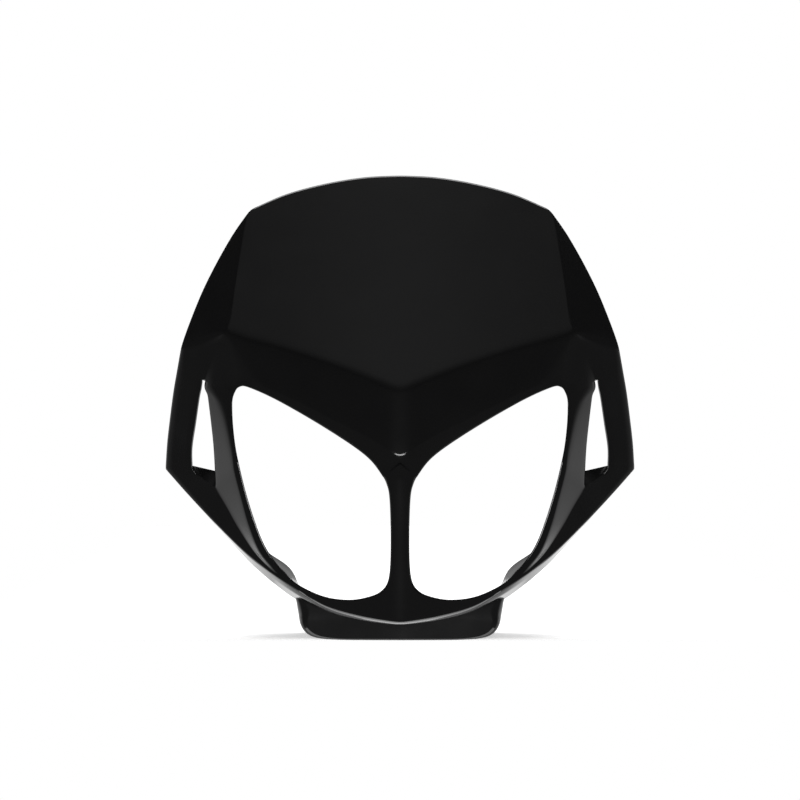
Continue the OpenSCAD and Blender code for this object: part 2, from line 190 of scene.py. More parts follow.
def curve(keys, t):
    """Smooth curve through the keys, at t from 0 to the last index."""
    keys = np.asarray(keys, float)
    n = len(keys) - 1
    i = min(int(t), n - 1)
    f = t - i
    a, b = keys[i], keys[i + 1]
    m1 = (b - keys[i - 1]) / 2 if i > 0 else b - a
    m2 = (keys[i + 2] - a) / 2 if i < n - 1 else b - a
    f2, f3 = f * f, f * f * f
    return ((2 * f3 - 3 * f2 + 1) * a + (f3 - 2 * f2 + f) * m1
            + (3 * f2 - 2 * f3) * b + (f3 - f2) * m2)


def deep(p, y):
    """A table's point at a depth, in space."""
    return np.array([p[0], y, p[1] * UP_SCALE])


def column_at(group, t):
    """The points of a group's column in space, at t from 0 to the last station."""
    table, rule = GROUPS[group]
    return rule(curve(table, t), t / (len(table) - 1))


# The ear's and the chin's planes take over from those of the group before within 1 / TAKEOVER
# of the group.
EAR_TAKEOVER, CHIN_TAKEOVER = 10, 3
# Fold under the beak: where it starts, and how gently, as the square of a share of its height.
FOLD_Z, FOLD_SOFT = 102.0, 0.08


# Each rule gives the depths of a column c that is a share f of the way along its group.
def upper_rule(c, f):
    return [deep(c[0], lower_y(c[0]))] + [deep(p, upper_y(p)) for p in c[1:]]


def ear_rule(c, f):
    w = min(1, EAR_TAKEOVER * f)
    second = upper_y(c[1]) * (1 - w) + lower_y(c[1]) * w
    return ([deep(c[0], lower_y(c[0])), deep(c[1], second)]
            + [deep(p, outer_y(p)) for p in c[2:]])


def jaw_rule(c, f):
    return [deep(p, lower_y(p)) for p in c[:2]] + [deep(p, outer_y(p)) for p in c[2:]]


def chin_rule(c, f):
    w = min(1, CHIN_TAKEOVER * f)
    return [deep(p, lower_y(p) * w + outer_y(p) * (1 - w)) for p in c]


def bar_rule(c, f):
    tip = BROW[0][1]
    rise = (c[1][1] - FOLD_Z) / (tip[1] - FOLD_Z)
    share = (rise + math.sqrt(rise * rise + FOLD_SOFT)) / (1 + math.sqrt(1 + FOLD_SOFT))
    fold = (lower_y(tip) - upper_y(tip)) * share
    return [deep(c[0], lower_y(c[0])), deep(c[1], lower_y(c[1]) - fold)]


GROUPS = {
    "brow": (BROW, upper_rule),
    "side": (SIDE, upper_rule),
    "ear": (EAR, ear_rule),
    "jaw": (JAW, jaw_rule),
    "chin": (CHIN, chin_rule),
    "bar": (BAR, bar_rule),
}


# Steps of a path to each corner and round it, and the most of a leg that a corner may take
STRAIGHT, ARC = 4, 4
RAILS = STRAIGHT + ARC
LEG_SHARE = 0.45


def toward(a, b, d):
    """The point d from a toward b, or a fixed share of the way where b is near."""
    gap = np.linalg.norm(b - a)
    return a + (b - a) * (min(d / gap, LEG_SHARE) if gap > 1e-9 else 0)


def bend(a, c, b, u):
    """Point u of the way along the rounded corner a, c, b."""
    return (1 - u) ** 2 * a + 2 * u * (1 - u) * c + u * u * b


def softened(points, radii, heads=None):
    """The path through the points with its corners rounded; every call with the same number
    of points gives the same number back. A head is the point that a corner starts from, where
    that isn't the point before it."""
    heads = heads or {}
    out, start, last = [points[0]], points[0], len(points) - 1
    for i in range(1, last + 1):
        end = points[i]
        if i < last:
            end = toward(points[i], heads.get(i, points[i - 1]), radii[i])
        out += [start + (end - start) * k / STRAIGHT for k in range(1, STRAIGHT + 1)]
        if i < last:
            leave = toward(points[i], points[i + 1], radii[i])
            out += [bend(end, points[i], leave, k / ARC) for k in range(1, ARC + 1)]
            start = leave
    return out


class CowlSizes(bpy.types.PropertyGroup):
    """Sizes of the shell and its softened edges, in metres."""
    skin: bpy.props.FloatProperty(
        name="Skin", description="Thickness of the skin, front to back",
        default=0.0032, min=0.0026, max=0.004, unit="LENGTH")
    wall: bpy.props.FloatProperty(
        name="Edge wall", description="Thickness of the turned-in walls",
        default=0.0024, min=0.0018, max=0.003, unit="LENGTH")
    edge_depth: bpy.props.FloatProperty(
        name="Edge depth", description="How far the outer edge turns back",
        default=0.014, min=0.01, max=0.018, unit="LENGTH")
    eye_depth: bpy.props.FloatProperty(
        name="Opening depth", description="How far the lamp openings' walls go back",
        default=0.009, min=0.006, max=0.012, unit="LENGTH")
    vent_depth: bpy.props.FloatProperty(
        name="Vent depth", description="How far the vents' walls go back",
        default=0.007, min=0.005, max=0.009, unit="LENGTH")
    edge_round: bpy.props.FloatProperty(
        name="Edge softening", description="Softening of the outer edge",
        default=0.0014, min=0.0006, max=0.004, unit="LENGTH")
    rim_round: bpy.props.FloatProperty(
        name="Rim softening", description="Softening of the lamp openings' rims",
        default=0.0012, min=0.0004, max=0.002, unit="LENGTH")
    crease_share: bpy.props.FloatProperty(
        name="Crease softening",
        description="Softening of the creases, as a share of what each crease has",
        default=1, min=0.3, max=1.5, subtype="FACTOR")
    eye_draft: bpy.props.FloatProperty(
        name="Opening draft", description="Outward lean of the openings' walls",
        default=0.001, min=0.0006, max=0.0016, unit="LENGTH")
    column_steps: bpy.props.IntProperty(
        name="Columns", description="Columns between two stations",
        default=10, min=3, max=20)


class CowlFinish(bpy.types.PropertyGroup):
    """Colours of the plastic and of the studio."""
    plastic: bpy.props.FloatVectorProperty(
        name="Plastic", description="Colour of the moulded plastic",
        subtype="COLOR", size=3, default=(0.0036, 0.0036, 0.0037), min=0, max=1)
    roughness: bpy.props.FloatProperty(
        name="Roughness", description="Roughness of the moulded plastic",
        default=0.11, min=0.05, max=0.6, subtype="FACTOR")
    floor: bpy.props.FloatVectorProperty(
        name="Floor", description="Colour of the floor",
        subtype="COLOR", size=3, default=(0.85, 0.85, 0.85), min=0, max=1)
    floor_own: bpy.props.FloatProperty(
        name="Floor's own white", description="Share of the floor's white that the shadow leaves",
        default=0.42, min=0, max=1, subtype="FACTOR")
    even_light: bpy.props.FloatProperty(
        name="Even light", description="Light that reaches the part from all round",
        default=0.75, min=0.2, max=1.5, subtype="FACTOR")
    backdrop: bpy.props.FloatProperty(
        name="Backdrop", description="Brightness of the backdrop in reflections",
        default=0.72, min=0, max=1, subtype="FACTOR")
    overhead: bpy.props.FloatProperty(
        name="Overhead", description="Brightness of the overhead light in reflections",
        default=0.19, min=0, max=1, subtype="FACTOR")


# How far the corner at a group's end is rounded on each of its five rails, in stations: before
# the corner, then after it. "start" is the middle of the brow, mirrored.
CORNER = {
    "start": ([0] * 5, [0, 0.35, 0.3, 0.4, 0.3]),
    "brow": ([0.4, 0.5, 0.3, 0.16, 0.12], [1.0, 1.4, 1.0, 0.16, 0.12]),
    "side": ([0.5] * 5, [0.25] * 5),
    "ear": ([0.04, 0.3, 0.04, 0.04, 0.04], [0.04, 0.3, 0.04, 0.04, 0.04]),
    "jaw": ([0.3] * 5, [0.3] * 5),
    "chin": ([0] * 5, [0] * 5),
}
# Softening of the three creases that a column crosses, in millimetres, by station.
SOFT = {
    "brow": [[3, 5, 9], [4, 4, 9], [4, 3.5, 9], [5, 4, 9], [5, 6, 9]],
    "side": [[5, 6, 9], [6, 6, 9], [6, 6, 9], [7, 6, 9]],
    "ear": [[7, 6, 9], [6, 3, 2], [5, 1.6, 1.2], [4, 1.4, 1.2], [3, 1.4, 1.2], [2.5, 1.4, 1.4]],
    "jaw": [[2.5, 1.4, 1.4], [2.2, 3, 4], [2, 3, 4], [2, 3, 4], [2, 2, 2]],
    "chin": [[2, 2, 2], [2, 2, 2], [2, 2, 2], [3, 3, 3], [3, 3, 3]],
    "bar": [[3, 3, 3]] * 6,
}
# The same on the inside: the most that the first crease has, the others, and the outer edge.
INNER_FIRST, INNER_CREASE, INNER_EDGE = 2, 0.5, 1.0
# The bar stops short of the beak, at this station, and its rim is softer by this factor.
BAR_END, BAR_RIM = 4.6, 1.8
# Step from the beak's first crease to the bar's fold, for the corner under the beak. It fades
# out over 1 / BEAK_FADE of the brow's first stretch.
BEAK_FOLD = (deep((0, FOLD_Z), lower_y((0, FOLD_Z)))
             - deep(BROW[0][1], upper_y(BROW[0][1])))
BEAK_FADE = 2
# Vent: how far before its first column its upper lip lies, in stations; the rise of its foot
# toward the back, in millimetres; and the shares of that rise on the other rails.
VENT_LIP, VENT_FOOT = 0.004, 9.0
FOOT_OUTER, FOOT_INNER, FOOT_SKIN = 0.25, 0.8, 0.7
# Outer edge: its curl forward on the brow, in millimetres, and where the middle rail of its
# turned-in wall lies, outside and inside, as a share of the wall.
TOP_CURL = 2.2
EDGE_MID, EDGE_MID_BACK = 0.45, 0.6
# Jaw and chin, by station: how far the turned-in edge drops, how much further back it goes, and
# the run and fall of the lip below the chin. SEAT_Y is the depth where it ends, on the skirt.
JAW_DROP = [[0], [0.8], [2.4], [4.6], [6.4]]
CHIN_DROP = [[6.4], [8.6], [4.2], [3.1], [2.5]]
CHIN_REACH = [[0], [5.5], [0], [0], [0]]
CHIN_LIP = [[6.3, 2.9], [6, 3.3], [6, 3.2], [5, 2.7], [3.6, 2.0]]
SEAT_Y = 48.5
LIP_ROUND, CHIN_ROUND = 2, 0.6
# The chin's second and third rails lie at this step, and at twice it, from its first crease.
CHIN_STEP = 0.1
# The chin's lowest point is a V of this slope, rounded off over CHIN_POINT.
CHIN_SLOPE, CHIN_POINT = 0.148, 5
# Passes that even out the rim of the lamp opening
RIM_PASSES = 8


def corner_point(g, gi, t, r):
    """Rail r of a group's column where a rounded corner moves it, or None."""
    order = list(GROUPS)
    n = len(GROUPS[g][0]) - 1
    late, near = CORNER[order[gi - 1] if gi else "start"]
    far, early = CORNER[g] if g != "bar" else CORNER["chin"]
    if t < near[r]:
        b = column_at(g, near[r])[r]
        if gi:
            before = order[gi - 1]
            a = column_at(before, len(GROUPS[before][0]) - 1 - late[r])[r]
        else:
            a = b * np.array([-1, 1, 1])
        return bend(a, column_at(g, 0)[r], b, 0.5 + 0.5 * t / near[r])
    if 0 < n - t < far[r]:
        a, b = column_at(g, n - far[r])[r], column_at(order[gi + 1], early[r])[r]
        return bend(a, column_at(g, n)[r], b, 0.5 - 0.5 * (n - t) / far[r])
    return None


def columns(steps):
    """Every column of half the shell, as (group, position, points), with rounded corners where
    two groups of stations meet and at the middle of the brow."""
    out = []
    for gi, g in enumerate(GROUPS):
        n = len(GROUPS[g][0]) - 1
        for k in range(1 if g == "bar" else 0, n * steps + (g == "chin")):
            t = k / steps
            if g == "bar" and t > BAR_END:
                continue
            pts = column_at(g, t)
            for r in range(len(pts)):
                moved = corner_point(g, gi, t, r)
                if moved is not None:
                    pts[r] = moved
            if g == "ear" and t == 1:
                out.append([g, t - VENT_LIP, list(pts)])
            out.append([g, t, pts])
    rim = np.array([pts[0] for g, t, pts in out])
    for _ in range(RIM_PASSES):
        rim = (np.roll(rim, 1, 0) + 2 * rim + np.roll(rim, -1, 0)) / 4
    for column, p in zip(out, rim):
        column[2][0] = p
    return out


def bow(path, a, b):
    """Bow the part of a front path that runs from a to b, as the face between the openings is."""
    def crown(x):
        return ridge(x, FACE_ROUND)

    for p in path[STRAIGHT + 1:RAILS + STRAIGHT + 1]:
        share = (p[0] - b[0]) / (a[0] - b[0])
        p[1] += FACE_OUT * (crown(p[0]) - crown(b[0]) * (1 - share) - crown(a[0]) * share)


def back(d):
    """A step of d straight back."""
    return np.array([0, d, 0])


def up(d):
    """A step of d straight up."""
    return np.array([0, 0, d])


def in_vent(group, t):
    return (group == "ear" and t >= 1) or (group == "jaw" and t == 0)


def edge_turn(group, t, edge_depth, edge_y):
    """Steps from the outer edge to the end of its turned-in wall, and to the rail between."""
    if group == "chin":
        run, fall = curve(CHIN_LIP, t)
        reach = SEAT_Y + curve(CHIN_REACH, t)[0] - edge_y
        return np.array([0, reach, -curve(CHIN_DROP, t)[0]]), np.array([0, run, -fall])
    turn = back(edge_depth)
    if group == "jaw":
        turn = turn - up(curve(JAW_DROP, t)[0])
    return turn, turn * EDGE_MID


def rail_paths(group, t, k, s):
    """Front and back paths of one column, from the back of the opening's wall, over the skin,
    to the back of the outer edge."""
    skin, wall, rim = back(s.skin * PER_M), s.wall * PER_M, s.rim_round * PER_M
    if group == "chin":
        point = (math.hypot(k[4][0], CHIN_POINT) - k[4][0]) * CHIN_SLOPE * t / 4
        k = k[:4] + [k[4] + up(point)]
    away = (k[1] - k[0]) * np.array([1, 0, 1])
    lean = away * s.eye_draft * PER_M / np.linalg.norm(away)
    inner = toward(k[0], k[1], wall)
    front = [k[0] + back(s.eye_depth * PER_M) + lean, k[0], k[1]]
    rear = [inner + back(s.eye_depth * PER_M) + lean, inner + skin, k[1] + skin]
    if group == "bar":
        front = softened(front, [0, rim * BAR_RIM, 0])
        bow(front, k[0], k[1])
        return front, softened(rear, [0, rim, 0])

    r1, r2, r3 = curve(SOFT[group], t) * s.crease_share
    edge_r, lip_r = s.edge_round * PER_M, 0
    k2, k3 = k[2], k[3]
    if group == "chin":
        share = min(1, t)
        k2, k3 = [k[i] * (1 - share) + (k[1] + (k[4] - k[1]) * CHIN_STEP * (i - 1)) * share
                  for i in (2, 3)]
        r1, edge_r, lip_r = min(r1, k[1][0] / 2), edge_r + CHIN_ROUND * share, LIP_ROUND
    if in_vent(group, t):
        # The two walls of the vent, one down from the second crease and one from the third
        deep_in, foot = back(s.vent_depth * PER_M), up(VENT_FOOT if group == "jaw" else 0)
        k2i, k3i = toward(k2, k[1], wall), toward(k3, k[4], wall)
        wall2, wall3 = k2 + deep_in + foot, k3 + deep_in + foot * FOOT_OUTER
        wall2i, wall3i = k2i + deep_in + foot * FOOT_INNER, k3i + deep_in
        m2, m3 = k2i + skin + foot * FOOT_SKIN, k3i + skin
    else:
        wall2, wall3 = k2 + (k3 - k2) / 3, k3 + (k2 - k3) / 3
        wall2i, wall3i = wall2 + skin, wall3 + skin
        m2, m3 = k2 + skin, k3 + skin
    curl = back({"brow": TOP_CURL, "side": TOP_CURL * max(0, 1 - t)}.get(group, 0))
    turn, middle = edge_turn(group, t, s.edge_depth * PER_M, k[4][1])
    edge_in = toward(k[4], k[3], wall)
    heads, rear_heads = {}, {}
    if group == "brow" and t < 1 / BEAK_FADE:
        target = k[0] * BEAK_FADE * t + (k[1] + BEAK_FOLD) * (1 - BEAK_FADE * t)
        heads, rear_heads = {2: target}, {2: target + skin}

    front += [k2, wall2, wall3, k3, k[4] - curl, k[4] + middle, k[4] + turn]
    front = softened(front, [0, rim, r1, r2, 0, 0, r3, edge_r, lip_r, 0], heads)
    if group == "chin" and t > 3:
        bow(front, k[0], k[1])
    rear += [m2, wall2i, wall3i, m3, edge_in + skin, edge_in + turn * EDGE_MID_BACK,
             edge_in + turn]
    rear = softened(rear, [0, rim, min(r1, INNER_FIRST), INNER_CREASE, 0, 0, INNER_CREASE,
                           INNER_EDGE, 0, 0], rear_heads)
    return front, rear


# Rails of a path: the vent's two long walls, and the front skin from its first crease outward.
VENT_RAILS = (3 * RAILS + STRAIGHT, 4 * RAILS + STRAIGHT)
SKIN_RAILS = slice(RAILS + STRAIGHT, 8 * RAILS)


def shell_mesh(s):
    """Half the shell: front and back sheets, and the walls that close them."""
    cols = columns(s.column_steps)
    verts, index = [], []
    for g, t, k in cols:
        sheets = rail_paths(g, t, k, s)
        count = len(sheets[0])
        index.append([[len(verts) + m * count + r for r in range(count)] for m in (0, 1)])
        verts += sheets[0] + sheets[1]
    vent = [i for i, (g, t, k) in enumerate(cols) if in_vent(g, t)]
    v2, v3 = VENT_RAILS
    faces = []
    for i, (a, a_in) in enumerate(index):
        j = (i + 1) % len(cols)
        b, b_in = index[j]
        last = min(len(a), len(b)) - 1
        hole = i in vent and j in vent
        for r in range(last):
            if not (hole and v2 <= r < v3):
                faces.append([a[r], a[r + 1], b[r + 1], b[r]])
                faces.append([a_in[r], a_in[r + 1], b_in[r + 1], b_in[r]])
        ends = [0] + ([last] if "bar" not in (cols[i][0], cols[j][0]) else [])
        for r in ends + ([v2, v3] if hole else []):
            faces.append([a[r], a_in[r], b_in[r], b[r]])
    for i in (min(vent), max(vent)):
        a, a_in = index[i]
        faces += [[a[r], a[r + 1], a_in[r + 1], a_in[r]] for r in range(v2, v3)]
    return verts, faces


def mirrored(verts, faces):
    """A half and its mirror image."""
    n = len(verts)
    verts = list(verts) + [np.array([-v[0], v[1], v[2]]) for v in verts]
    faces = list(faces) + [[i + n for i in f][::-1] for f in faces]
    return verts, faces


SHARP_ANGLE = 32
WELD, SLIVER = 2e-6, 1e-6


def mesh_object(name, verts, faces):
    """A closed mesh in metres at its place in the part's frame, with its faces outward."""
    mesh = bpy.data.meshes.new(name)
    mesh.from_pydata([(v[0] * MM, (v[1] - MID_Y) * MM, v[2] * MM) for v in verts], [], faces)
    bm = bmesh.new()
    bm.from_mesh(mesh)
    bmesh.ops.remove_doubles(bm, verts=bm.verts, dist=WELD)
    bmesh.ops.dissolve_degenerate(bm, edges=bm.edges, dist=SLIVER)
    bmesh.ops.recalc_face_normals(bm, faces=bm.faces)
    bm.to_mesh(mesh)
    bm.free()
    for p in mesh.polygons:
        p.use_smooth = True
    mesh.set_sharp_from_angle(angle=math.radians(SHARP_ANGLE))
    obj = bpy.data.objects.new(name, mesh)
    bpy.context.scene.collection.objects.link(obj)
    return obj


# Skirt: half of a U seen from the front, at its front and at its back, and the share of
# SKIRT_ROUND that its front corner has at each of those points.
TRAY_FRONT = [[0, 0], [22, 0.06], [38, 0.3], [50, 1.1], [57.5, 3.6], [61.8, 9.5], [63.6, 18],
              [65.8, 28], [74.5, 40.6], [86, 48.4], [97, 57.4]]
TRAY_BACK = [[0, 0.6], [22, 0.6], [37, 0.6], [49, 1.4], [56.5, 4.2], [60.8, 10], [63, 19],
             [67.6, 29.3], [73, 39.3], [85, 47.8], [95.4, 55.4]]
TRAY_SOFT = [0.1, 0.1, 0.1, 0.22, 0.45, 0.6, 0.85, 0.4, 0.1, 0.1, 0.1]
SKIRT_Y, SKIRT_RUN, SKIRT_WALL, SKIRT_ROUND = 47.0, 55.0, 3.0, 9.0
INNER_ROUND_LEAST = 0.2
# Front plate: the point where its top leaves the U, and the height of its middle
PLATE_AT, PLATE_MID = 6.5, 21.0
SKIRT_FINE, SKIRT_ARC = 6, 10


def skirt_mesh():
    """Half the skirt: a U-shaped tray with a rounded front corner and a front plate."""
    fine, arc = SKIRT_FINE, SKIRT_ARC
    n = (len(TRAY_FRONT) - 1) * fine
    front = [curve(TRAY_FRONT, i / fine) for i in range(n + 1)]
    rear = [curve(TRAY_BACK, i / fine) for i in range(n + 1)]
    soft = [float(curve([[v] for v in TRAY_SOFT], i / fine)[0]) for i in range(n + 1)]
    plate = int(PLATE_AT * fine)

    def inward(c, i):
        if i == 0:
            return np.array([0.0, 1.0])
        d = c[min(n, i + 1)] - c[i - 1]
        return np.array([-d[1], d[0]]) / np.linalg.norm(d)

    # Outer (s = 0) and inner (s = 1) surface: the front corner's arc, then the back's edge
    verts, faces = [], []
    ring = {}
    for s in (0, 1):
        for k in range(arc + 2):
            for i in range(n + 1):
                if k > arc:
                    p = deep(rear[i] + s * SKIRT_WALL * inward(rear, i), SKIRT_Y + SKIRT_RUN)
                else:
                    r = SKIRT_ROUND * soft[i]
                    r = r if s == 0 else max(INNER_ROUND_LEAST, r - SKIRT_WALL)
                    a = math.pi / 2 * k / arc
                    inset = s * SKIRT_WALL + r * (1 - math.sin(a))
                    y = SKIRT_Y + s * SKIRT_WALL + r * (1 - math.cos(a))
                    p = deep(front[i] + inset * inward(front, i), y)
                ring[s, k, i] = len(verts)
                verts.append(p)
    mid = {}
    for s in (0, 1):
        mid[s, 0] = ring[s, 0, 0]
        _, y, z = verts[mid[s, 0]]
        for i in range(1, plate + 1):
            mid[s, i] = len(verts)
            verts.append(np.array([0.0, y, z + (PLATE_MID * UP_SCALE - z) * i / plate]))
    for s in (0, 1):
        for k in range(arc + 1):
            for i in range(n):
                faces.append([ring[s, k, i], ring[s, k, i + 1],
                              ring[s, k + 1, i + 1], ring[s, k + 1, i]])
        for i in range(plate):
            faces.append([mid[s, i], mid[s, i + 1], ring[s, 0, i + 1], ring[s, 0, i]])
    # Walls between the two surfaces: the plate's top, the front's edge, the back and the ends
    faces.append([mid[0, plate], mid[1, plate], ring[1, 0, plate], ring[0, 0, plate]])
    for i in range(plate, n):
        faces.append([ring[0, 0, i], ring[1, 0, i], ring[1, 0, i + 1], ring[0, 0, i + 1]])
    for i in range(n):
        faces.append([ring[0, arc + 1, i], ring[0, arc + 1, i + 1],
                      ring[1, arc + 1, i + 1], ring[1, arc + 1, i]])
    for k in range(arc + 1):
        faces.append([ring[0, k, n], ring[1, k, n], ring[1, k + 1, n], ring[0, k + 1, n]])
    # The plate's first face starts in one point, so it is a triangle
    return verts, [list(dict.fromkeys(f)) for f in faces]


# Bosses: two behind the side facets and two behind the cheeks, each with a blind screw hole
# and two ribs. SEAT is how far a boss starts behind the skin's front, and a rib's foot ends.
BOSS_X, BOSS_Z, BOSS_UP, BOSS_BACK = 112.0, 84.0, 120.0, 84.0
BOSS_R, BORE_R, BORE_RUN = 6.0, 2.1, 18.0
BOSS_SEAT, BOSS_SIDES = 1.6, 48
BOSS_ROUND, BORE_CHAMFER = 1.2, 0.4
BOSS_ARC = 0.35   # how far the middle of the rounding lies from its two faces
RIB_WALL, RIB_REACH, RIB_STEP, RIB_SEAT = 2.2, 10.0, 6.0, 4.0
NEAREST, NEAR_SOFT = 12, 0.05


def front_depth(front, x, z):
    """Depth of the shell's front sheet at a point, from its vertices near by."""
    d = np.hypot(front[:, 0] - x, front[:, 2] - z)
    near = np.argsort(d)[:NEAREST]
    w = 1 / (d[near] + NEAR_SOFT) ** 2
    return float((front[near, 1] * w).sum() / w.sum())


def boss_mesh(z, front):
    """A boss with its screw hole and its two ribs, starting in the middle of the skin."""
    def at(x, above=0.0):
        return front_depth(front, x, z + above)

    seat = at(BOSS_X) + BOSS_SEAT
    lean_x = (at(BOSS_X + BOSS_R) - at(BOSS_X - BOSS_R)) / (2 * BOSS_R)
    lean_z = (at(BOSS_X, BOSS_R) - at(BOSS_X, -BOSS_R)) / (2 * BOSS_R)
    # Half a section of the boss, from its seat round to the bottom of the bore; None is the seat
    profile = [(0, None), (BOSS_R, None), (BOSS_R, BOSS_BACK - BOSS_ROUND),
               (BOSS_R - BOSS_ARC, BOSS_BACK - BOSS_ARC), (BOSS_R - BOSS_ROUND, BOSS_BACK),
               (BORE_R + BORE_CHAMFER, BOSS_BACK), (BORE_R, BOSS_BACK - BORE_CHAMFER),
               (BORE_R, BOSS_BACK - BORE_RUN), (0, BOSS_BACK - BORE_RUN)]
    verts, faces = [], []
    for j in range(BOSS_SIDES):
        a = 2 * math.pi * j / BOSS_SIDES
        for r, y in profile:
            dx, dz = r * math.cos(a), r * math.sin(a)
            y = seat + lean_x * dx + lean_z * dz if y is None else y
            verts.append(np.array([BOSS_X + dx, y, z + dz]))
    m = len(profile)
    for j in range(BOSS_SIDES):
        for i in range(m - 1):
            a, b = j * m + i, ((j + 1) % BOSS_SIDES) * m + i
            faces.append([a, a + 1, b + 1, b])
    # The ribs are one plate through the boss, along the skin and up to near its end
    xs = [BOSS_X + RIB_REACH * i / 3 for i in range(-3, 4)]
    poly = [(x, at(x) + BOSS_SEAT) for x in xs]
    poly += [(xs[-1], at(xs[-1]) + RIB_SEAT), (BOSS_X + RIB_STEP / 2, BOSS_BACK - RIB_STEP),
             (BOSS_X - RIB_STEP / 2, BOSS_BACK - RIB_STEP), (xs[0], at(xs[0]) + RIB_SEAT)]
    base, c = len(verts), len(poly)
    for dz in (-RIB_WALL / 2, RIB_WALL / 2):
        verts += [np.array([x, y, z + dz]) for x, y in poly]
    faces += [[base + i for i in range(c)][::-1], [base + c + i for i in range(c)]]
    faces += [[base + i, base + (i + 1) % c, base + c + (i + 1) % c, base + c + i]
              for i in range(c)]
    return verts, faces


def noise(nt, coord, scale, detail):
    """A noise of the object's own coordinates."""
    node = nt.nodes.new("ShaderNodeTexNoise")
    node.inputs["Scale"].default_value = scale
    node.inputs["Detail"].default_value = detail
    nt.links.new(coord.outputs["Object"], node.inputs["Vector"])
    return node.outputs["Fac"]


def plastic_material(f):
    """Gloss black moulded plastic: faint orange peel, and a finish that varies a little."""
    mat = bpy.data.materials.new("gloss_black_plastic")
    mat.use_nodes = True
    nt = mat.node_tree
    nt.nodes.clear()
    out = nt.nodes.new("ShaderNodeOutputMaterial")
    sh = nt.nodes.new("ShaderNodeBsdfPrincipled")
    sh.inputs["IOR"].default_value = 1.5
    nt.links.new(sh.outputs["BSDF"], out.inputs["Surface"])
    coord = nt.nodes.new("ShaderNodeTexCoord")
    mottle = noise(nt, coord, 38, 3)
    colour = nt.nodes.new("ShaderNodeMixRGB")
    for name, share in (("Color1", 0.92), ("Color2", 1.12)):
        colour.inputs[name].default_value = (*[c * share for c in f.plastic], 1)
    nt.links.new(mottle, colour.inputs["Fac"])
    nt.links.new(colour.outputs["Color"], sh.inputs["Base Color"])
    rough = nt.nodes.new("ShaderNodeMapRange")
    for name, v in (("From Min", 0.35), ("From Max", 0.7),
                    ("To Min", f.roughness - 0.02), ("To Max", f.roughness + 0.03)):
        rough.inputs[name].default_value = v
    nt.links.new(mottle, rough.inputs["Value"])
    nt.links.new(rough.outputs["Result"], sh.inputs["Roughness"])
    bump = nt.nodes.new("ShaderNodeBump")
    bump.inputs["Strength"].default_value = 0.012
    bump.inputs["Distance"].default_value = 0.0004
    nt.links.new(noise(nt, coord, 420, 2), bump.inputs["Height"])
    nt.links.new(bump.outputs["Normal"], sh.inputs["Normal"])
    return mat


class COWL_OT_shell(bpy.types.Operator):
    """Build the moulded shell with its lamp openings, vents, skirt and bosses"""
    bl_idname = "cowl.shell"
    bl_label = "Moulded shell"

    def execute(self, context):
        s = context.scene.cowl_sizes
        front = np.array([p for g, t, k in columns(s.column_steps) if g not in ("bar", "chin")
                          for p in rail_paths(g, t, k, s)[0][SKIN_RAILS]])
        mat = plastic_material(context.scene.cowl_finish)
        pieces = [mesh_object("cowl_shell", *mirrored(*shell_mesh(s))),
                  mesh_object("cowl_skirt", *mirrored(*skirt_mesh()))]
        for name, z in (("cowl_boss_lower", BOSS_Z), ("cowl_boss_upper", BOSS_Z + BOSS_UP)):
            pieces.append(mesh_object(name, *mirrored(*boss_mesh(z, front))))
        for p in pieces:
            p.data.materials.append(mat)
            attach(p, BODY)
            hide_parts(NODE)
        return {"FINISHED"}


def area(name, place, aim, size, power):
    """A rectangular lamp at a place, aimed at a point."""
    light = bpy.data.lights.new(name, "AREA")
    light.shape = "RECTANGLE"
    light.size, light.size_y = size
    light.energy = power
    obj = bpy.data.objects.new(name, light)
    obj.location = place
    obj.rotation_euler = (Vector(aim) - Vector(place)).to_track_quat("-Z", "Y").to_euler()
    bpy.context.scene.collection.objects.link(obj)


def ramp(nt, value, low, high, to_low=0.0, to_high=1.0):
    """A smooth step of a value between two limits."""
    node = nt.nodes.new("ShaderNodeMapRange")
    node.interpolation_type = "SMOOTHSTEP"
    nt.links.new(value, node.inputs["Value"])
    for name, v in (("From Min", low), ("From Max", high), ("To Min", to_low), ("To Max", to_high)):
        node.inputs[name].default_value = v
    return node.outputs["Result"]


def combined(nt, operation, a, b):
    """A sum, product or the like of two numbers or sockets."""
    node = nt.nodes.new("ShaderNodeMath")
    node.operation = operation
    for socket, v in zip(node.inputs, (a, b)):
        if isinstance(v, (int, float)):
            socket.default_value = v
        else:
            nt.links.new(v, socket)
    return node.outputs[0]


def any_shown(nt):
    """Is Camera Ray, Is Glossy Ray or Is Transmission Ray."""
    path = nt.nodes.new("ShaderNodeLightPath")
    total = path.outputs["Is Camera Ray"]
    for name in ("Is Glossy Ray", "Is Transmission Ray"):
        total = combined(nt, "MAXIMUM", total, path.outputs[name])
    return total


